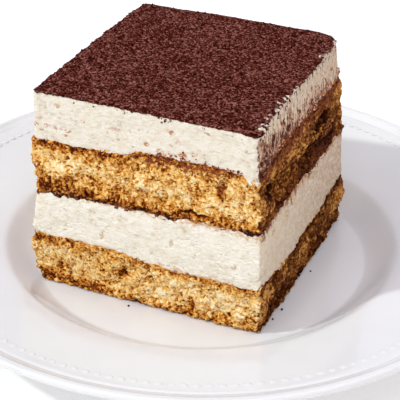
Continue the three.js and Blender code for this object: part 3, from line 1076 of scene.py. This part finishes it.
# Brown smudges on the cut cream.
SMUDGES = {
    "front": [
        (-33.2, 70.2, 1.1, 0.9, 0.6),
        (-24.6, 66.6, 1.2, 0.5, 0.9),
        (-40.0, 65.0, 1.6, 0.5, 0.5),
        (-41.0, 62.4, 1.3, 0.9, 0.9),
        (-37.0, 62.8, 1.4, 0.5, 0.8),
        (-33.0, 62.6, 1.6, 0.5, 0.8),
        (-29.6, 62.4, 1.2, 0.8, 0.9),
        (-30.6, 60.8, 1.2, 0.5, 0.8),
        (-38.8, 61.0, 0.9, 0.4, 0.8),
        (-13.5, 66.3, 2.0, 0.8, 0.5),
        (-12.0, 68.6, 0.8, 1.0, 0.5),
        (-2.8, 63.6, 0.9, 0.7, 1.0),
        (1.5, 62.4, 1.3, 0.7, 0.8),
        (5.5, 69.0, 1.1, 0.7, 1.0),
        (9.0, 62.4, 1.5, 0.8, 0.9),
        (12.4, 63.2, 0.8, 0.8, 0.8),
        (17.0, 71.0, 1.6, 0.5, 0.8),
        (25.6, 60.8, 1.0, 0.5, 0.8),
        (-21.5, 36.2, 1.8, 0.8, 0.45),
        (-12.0, 36.2, 0.8, 1.3, 0.6),
        (-30.8, 28.4, 1.6, 0.5, 0.55),
        (-31.8, 27.0, 0.9, 0.4, 0.6),
        (-18.6, 28.0, 0.8, 1.4, 0.6),
        (-17.0, 30.0, 1.4, 0.4, 0.5),
        (-7.2, 35.0, 0.8, 0.6, 0.5),
        (-6.8, 26.4, 0.7, 0.7, 0.6),
        (-6.2, 31.4, 1.0, 0.4, 0.5),
        (5.6, 31.2, 0.7, 1.6, 0.55),
        (13.6, 28.6, 0.7, 1.0, 0.6),
        (12.4, 33.4, 0.8, 0.4, 0.5),
        (22.6, 26.6, 0.6, 0.9, 0.5),
        (26.6, 28.2, 1.0, 1.0, 0.7),
        (-43.0, 25.0, 0.9, 0.6, 0.8),
    ],
    "right": [
        (-26.0, 36.5, 1.8, 1.4, 0.7),
        (-14.0, 37.5, 2.2, 3.0, 0.7),
        (-8.0, 38.5, 2.0, 1.6, 0.5),
        (-33.0, 27.0, 1.6, 0.5, 0.7),
        (2.0, 28.5, 2.5, 0.6, 0.4),
        (30.0, 29.5, 2.5, 0.8, 0.4),
        (22.0, 31.0, 3.0, 1.5, 0.3),
    ],
}


def cream_finish(name, low, high, pale, streaked):
    """Ivory cream with brown smudges, stained next to the soaked layers, with painted shade in its
    creases and a cocoa-tinted right side darkened with painted shade.
    """
    material, start = new_finish(name)
    place = place_on_piece(start)
    x, y, z = (place.axis(index) for index in range(3))
    sides = sides_of(start, place)
    ragged = (noise(stretched(place, 1.0, 1.0, 1.6), 1.3, 3.0) - 0.5) * 1.2
    right = (sides["right"] + ragged).rise(0.35, 0.6)
    cloud = noise(place, 3.0, 3.0)
    wrinkle = noise(stretched(jostled(place, 1.5, 1.5), 2.0, 2.0, 1.0), 0.9, 3.0)
    # Darker cream in creases drawn by noise: painted shade.
    painted_crease_shade = tuple(part * fade for part, fade in zip(pale, CREASE_SHADE))
    colour = blend((cloud + wrinkle - 0.5).rise(0.3, 0.6), painted_crease_shade, pale)
    # The right side: a cocoa tint with painted shade, darker towards the back.
    right_tint_and_shade = blend(y.rise(-45.0, 45.0), RIGHT_TINT_AND_SHADE_NEAR, RIGHT_TINT_AND_SHADE_FAR)
    speckled = (wrinkle - 0.5) * 2.0 + 0.82
    colour = blend(right * speckled, colour, right_tint_and_shade)

    drift = noise(stretched(place, 1.6, 1.0, 1.0), 0.9, 3.0) - 0.5
    stain_low = (z + drift * 8.0).rise(low + 1.2, low) * x.rise(-14.0, -2.0) * x.rise(31.0, 26.0) * 0.55
    stain_high = (z + drift * 7.0).rise(high - 0.8, high + 0.6) * 0.6
    colour = blend(stain_low.most(stain_high), colour, SOAKED_EDGE)

    broken = noise(stretched(jostled(place, 1.0, 1.2), 1.6, 1.0, 1.0), 0.8, 3.0)
    fleck = noise(stretched(jostled(place, 1.5, 1.5), 1.5, 1.5, 1.0), 1.2, 3.0).rise(0.58, 0.70)
    fleck = fleck * noise(place, 7.0).rise(0.42, 0.6) * 0.62
    smudge = broken.rise(0.42, 0.55) * spots(place, sides, SMUDGES) * 1.3
    smudge_colour = blend(z.rise(45.0, 55.0), SMUDGE_BELOW, SMUDGE_ABOVE)
    colour = blend(smudge.most(fleck) * 0.85, colour, smudge_colour)
    drip = noise(stretched(place, 1.0, 1.0, 2.5), 1.4, 3.0) - 0.5
    drip = (z + drip * 16.0).rise(high - 0.6, high + 1.6)
    colour = blend(right * drip * 0.8, colour, COFFEE_DRIP)
    if streaked:
        edge = ramp((y - STREAK_FRONT) * (1 / STREAK_LENGTH), STREAK_EDGE)
        depth = edge.axis(0) * STREAK_HEIGHT + STREAK_LOW - z
        pulled = jostled(place, 1.6, 1.0)
        streak = noise(stretched(pulled, 1.0, 1.0, 3.6), 1.3, 3.0) - 0.5
        low_part = (depth + streak * 36.0).rise(-2.5, 0.5)
        mottle = noise(stretched(pulled, 1.0, 1.0, 2.2), 1.0, 4.0) - 0.5
        streak_colour = ramp(mottle * 4.0 - depth * 0.04 + 0.58, STREAKS)
        colour = blend(right * low_part, colour, streak_colour)
        spilt = noise(stretched(place, 1.0, 1.0, 2.5), 1.2, 3.0).rise(0.56, 0.62)
        colour = blend(right * spilt * z.rise(70.0, 72.5), colour, SPILT_COCOA)
    fine = noise(stretched(place, 1.5, 1.5, 1.0), 0.6, 4.0)
    finish_with(start, colour, cloud * 0.2 + 0.5, 0.1, {"Normal": bump(fine, 0.4)})
    return material


# %% Cocoa, dry on the top and soaked in the seam
CREAM_STRAND = (0.80, 0.70, 0.58)

# From left to right, where strands of cream begin at the top's right edge.
STRAND_PLACE = (30.5, 31.5)


def cocoa_finish(name, stops, roughness, shine, size):
    """Cocoa powder: dark and reddish grains side by side, with clod tops painted lighter as painted
    light.
    """
    material, start = new_finish(name)
    place = place_on_piece(start)
    speck = noise(place, size, 3.0) - 0.5
    grain = cells(jostled(place, size, size), size, "Color").axis(0) - 0.5
    cloud = noise(place, 9.0, 3.0) - 0.5
    # The stored relief lightens the tops of clods: painted light and shade.
    level = stored(start, "tone") * 0.2 + grain * 0.9 + speck * 1.9 + stored(start, "relief") * 0.3
    level = level + cloud * 0.3 + 0.16
    strand = noise(stretched(jostled(place, 2.5, 3.0), 3.0, 1.0, 3.0), 2.0, 3.0).rise(0.52, 0.58)
    strand = strand * (place.axis(0) + (noise(place, 3.0) - 0.5) * 7.0).rise(*STRAND_PLACE)
    colour = blend(strand * stored(start, "creamy"), ramp(level, stops), CREAM_STRAND)
    normal = bump(noise(place, size, 4.0), 0.3)
    finish_with(start, colour, speck * 0.2 + roughness, shine, {"Normal": normal})
    return material


# Dry cocoa from dark to pale grains; the pale, greyer end stands partly for a sheen on the grains, as
# painted highlight.
DRY_COCOA_WITH_SHEEN = [
    (0.05, (0.022, 0.0020, 0.0010)),
    (0.45, (0.072, 0.0115, 0.0070)),
    (0.75, (0.162, 0.047, 0.036)),
    (1.00, (0.310, 0.135, 0.105)),
]
SOAKED_COCOA = [
    (0.05, (0.014, 0.003, 0.002)),
    (0.48, (0.062, 0.014, 0.007)),
    (0.76, (0.200, 0.060, 0.026)),
    (1.00, (0.420, 0.165, 0.045)),
]
STAINED_CRUMB = [
    (0.10, (0.140, 0.030, 0.015)),
    (0.50, (0.420, 0.120, 0.060)),
    (0.90, (0.800, 0.450, 0.280)),
]

# %% Glazed porcelain
PORCELAIN_DARK = (0.768, 0.768, 0.768)
PORCELAIN_PALE = (0.788, 0.788, 0.788)


def porcelain_finish():
    """White porcelain under a clear glaze, with the faintest waves in its gloss."""
    material, start = new_finish("glazed_porcelain")
    place = place_on_piece(start)
    cloud = noise(place, 30.0)
    colour = blend(cloud.rise(0.35, 0.65), PORCELAIN_DARK, PORCELAIN_PALE)
    finish_with(start, colour, cloud * 0.05 + 0.06, 0.5, {"Normal": bump(noise(place, 14.0), 0.1)})
    return material


# %% Give each piece its finish
soaked_cocoa = cocoa_finish("soaked_cocoa", SOAKED_COCOA, roughness=0.6, shine=0.08, size=0.9)
dry_cocoa = cocoa_finish("dry_cocoa", DRY_COCOA_WITH_SHEEN, roughness=0.9, shine=0.01, size=0.6)
stained_crumb = cocoa_finish("stained_crumb", STAINED_CRUMB, roughness=0.6, shine=0.06, size=0.8)
porcelain = porcelain_finish()
sponge_below = sponge_finish(
    "golden_sponge_below", low=6.0, high=21.6, step=0.0, wetness=0.24, paleness=0.31
)
sponge_above = sponge_finish(
    "golden_sponge_above", low=41.3, high=57.6, step=3.1, wetness=0.27, paleness=0.235
)
# The lower cream gets the paler colour and the upper one a darker one of the same cream, to offset how
# the light falls on each: painted light and shade.
cream_below = cream_finish(
    "ivory_cream_below", low=21.6, high=39.8, pale=(0.945, 0.898, 0.782), streaked=False
)
cream_above = cream_finish(
    "ivory_cream_above", low=58.5, high=75.5, pale=(0.865, 0.805, 0.69), streaked=True
)
FINISHES = [
    (porcelain, [plate]),
    (sponge_below, [sponge_lower, crumbs_lower]),
    (sponge_above, [sponge_upper, crumbs_upper]),
    (cream_below, [cream_lower]),
    (cream_above, [cream_upper]),
    (soaked_cocoa, [cocoa_seam, plate_crumbs]),
    (dry_cocoa, [cocoa_top, cocoa_grains, fallen_cocoa]),
    (stained_crumb, [stained_crumbs, streak_crumbs]),
]
for finish, coated in FINISHES:
    for piece in coated:
        piece.data.materials.clear()
        piece.data.materials.append(finish)
print("finishes:", [finish.name for finish, coated in FINISHES])

# %% [markdown]
# ## Which piece stands for which solid
#
# Every piece rides on the one body. The plate and the layers take the place of their
# solids, which are hidden.

# %% Ride and replace
STANDS_FOR = [
    (plate, "plate", "plate"),
    (sponge_lower, "sponge_lower", "sponge"),
    (cream_lower, "cream_lower", "cream"),
    (cocoa_seam, "cocoa_seam", "cocoa"),
    (sponge_upper, "sponge_upper", "sponge"),
    (cream_upper, "cream_upper", "cream"),
    (cocoa_top, "cocoa_top", "cocoa"),
]
for piece, node, slot in STANDS_FOR:
    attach(piece, "root")
    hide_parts(node)

STREWN = [
    (crumbs_lower, "sponge"),
    (crumbs_upper, "sponge"),
    (stained_crumbs, "sponge"),
    (streak_crumbs, "sponge"),
    (fallen_cocoa, "cocoa"),
    (plate_crumbs, "cocoa"),
    (cocoa_grains, "cocoa"),
]
for piece, slot in STREWN:
    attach(piece, "root")

# %% [markdown]
# ## Floor, light and camera
#
# A plain white floor in a pale room. One hard lamp from the front left casts the shadow,
# a wide soft box hangs above, and weak wide lamps fill in from the front, the right and behind.

# %% Floor and light
FLOOR_METRES = 6.0

bpy.ops.object.select_all(action="DESELECT")
bpy.ops.mesh.primitive_plane_add(size=FLOOR_METRES, location=(0, 0, 0))
floor = bpy.context.object
floor.name = "floor"
floor_material, floor_start = new_finish("white_floor")
faint_glow = {"Emission Color": (1.0, 1.0, 1.0, 1.0), "Emission Strength": 0.25}
finish_with(floor_start, (0.80, 0.80, 0.80, 1.0), 0.9, 0.0, faint_glow)
floor.data.materials.append(floor_material)


def lamp(name, travel, angle, strength, colour):
    """A sun that shines along travel; strength is its light on a white surface facing it."""
    data = bpy.data.lights.new(name, "SUN")
    data.energy = strength * math.pi
    data.angle = math.radians(angle)
    data.color = colour
    made = bpy.data.objects.new(name, data)
    made.rotation_euler = Vector(travel).to_track_quat("-Z", "Y").to_euler()
    bpy.context.scene.collection.objects.link(made)


# Name, travel, angle in degrees, strength and colour.
lamp("key_lamp", (0.585, 0.439, -0.682), 3.0, 0.46, (0.94, 1.0, 0.95))
lamp("soft_box_above", (0.0, 0.0, -1.0), 70.0, 0.54, (0.80, 0.82, 0.95))
lamp("fill_right", (-0.85, 0.35, -0.3), 60.0, 0.225, (1.0, 0.87, 0.90))
lamp("fill_front", (0.0, 1.0, -0.8), 60.0, 0.18, (1.0, 0.95, 0.97))
lamp("fill_back_right", (-0.55, -0.55, -0.75), 60.0, 0.07, (1.0, 0.79, 0.51))
lamp("low_window_behind", (0.0, -1.0, -0.35), 50.0, 0.09, (0.91, 0.79, 1.0))

world = bpy.data.worlds.new("pale_room")
bpy.context.scene.world = world
world.use_nodes = True
sky = world.node_tree.nodes["Background"]
sky.inputs["Color"].default_value = (1.0, 1.0, 1.0, 1.0)
# The room is brighter at and below the horizon than overhead.
direction = Wire(world.node_tree).node("ShaderNodeTexCoord", {}, {}, "Generated")
glow = direction.axis(2).rise(0.2, 0.02) * 0.35 + 0.17
world.node_tree.links.new(glow.socket, sky.inputs["Strength"])
bpy.context.scene.view_settings.view_transform = "Standard"

# %% Camera
CAMERA_PLACE = Vector((151.2, -356.5, 248.5))
CAMERA_AIM = Vector((-14.3, 31.8, 5.7))
CAMERA_ROLL = math.radians(0.68)
LENS = 119.7
SENSOR_WIDTH = 36.0
camera_data = bpy.data.cameras.new("camera")
camera_data.lens = LENS
camera_data.sensor_width = SENSOR_WIDTH
camera = bpy.data.objects.new("camera", camera_data)
camera.location = CAMERA_PLACE * MM
look = (CAMERA_AIM - CAMERA_PLACE).to_track_quat("-Z", "Y")
camera.rotation_euler = (look @ Quaternion((0, 0, 1), CAMERA_ROLL)).to_euler()
bpy.context.scene.collection.objects.link(camera)
bpy.context.scene.camera = camera
